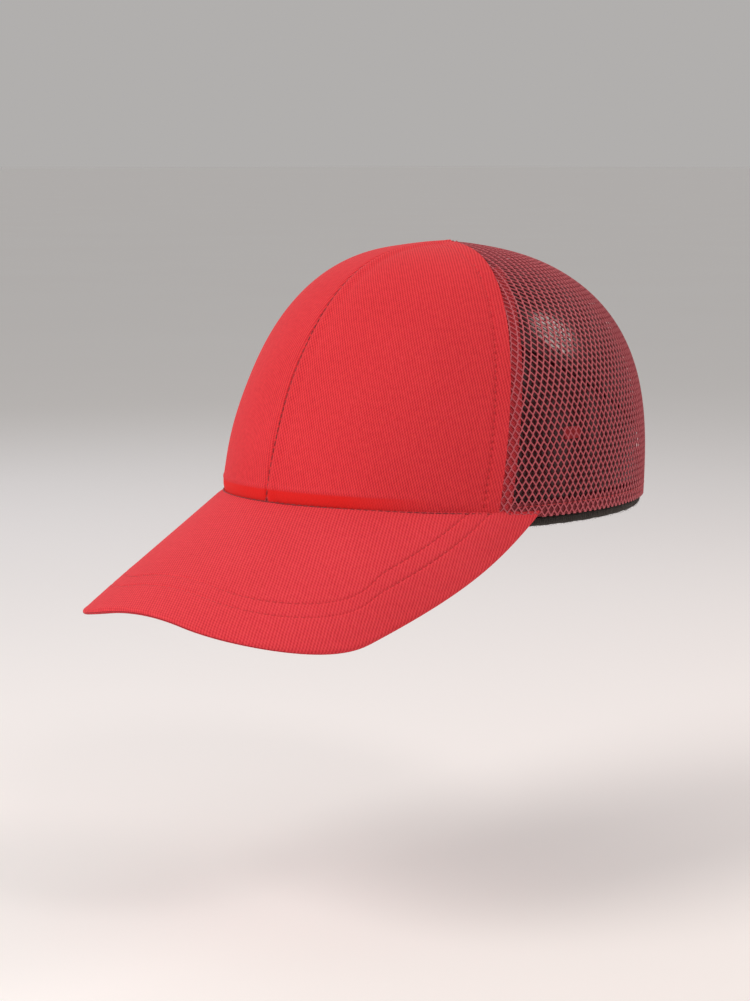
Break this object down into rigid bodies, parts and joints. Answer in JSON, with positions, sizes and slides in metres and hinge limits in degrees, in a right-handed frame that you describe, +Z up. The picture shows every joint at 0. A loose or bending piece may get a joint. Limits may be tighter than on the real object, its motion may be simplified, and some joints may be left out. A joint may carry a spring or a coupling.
{
  "type": "trucker mesh cap",
  "caption": "Padded cap with a curved visor, twill front, mesh back, snap strap and a removable moulded bump shell inside.",
  "frame": {"origin": "middle of the head opening, level with the lower edge of the mesh", "axes": "+Z up through the crown, +X towards the wearer's left, -Y forwards over the visor"},
  "size_m": [0.184, 0.2896, 0.1687],
  "materials": {
    "twill": "cotton twill, matte",
    "twill_under": "cotton twill, matte",
    "mesh": "knitted polyester mesh",
    "tape": "woven tape, matte",
    "visor_board": "plain moulded board",
    "shell": "glossy moulded shell",
    "foam": "closed-cell foam, matte",
    "knit": "brushed knit",
    "loop": "hook and loop tape",
    "strap": "moulded strap, satin",
    "label": "woven label"
  },
  "bodies": {
    "cap": {"visor_board": "visor_board", "visor_cover_top": "twill", "visor_cover_under": "twill_under", "front_panel_left": "twill", "front_panel_right": "twill", "mesh_panel_left": "mesh", "mesh_panel_right": "mesh", "seam_tape_front": "tape", "seam_tape_left": "tape", "seam_tape_right": "tape", "seam_tape_back": "tape", "rear_binding": "tape", "crown_loop_patch": "loop", "snap_strap_right": "strap", "strap_tab_left": "strap"},
    "insert": {"insert_shell": "shell", "front_pad": "foam", "side_pad_left": "foam", "side_pad_right": "foam", "rear_pad": "foam", "crown_pad": "foam", "sweatband": "knit", "shell_hook_patch": "loop", "size_label": "label"},
    "strap": {"snap_strap_left": "strap"}
  },
  "joints": [
    {"name": "insert_pull", "type": "slide", "parent": "cap", "child": "insert", "axis": [0, -0.0707, -0.9975], "range_m": [0, 0.125]},
    {"name": "strap_open", "type": "hinge", "parent": "cap", "child": "strap", "pos_m": [0.03286, 0.1017, 0.011], "axis": [0, -0.0707, -0.9975], "range_deg": [0, 80]}
  ]
}
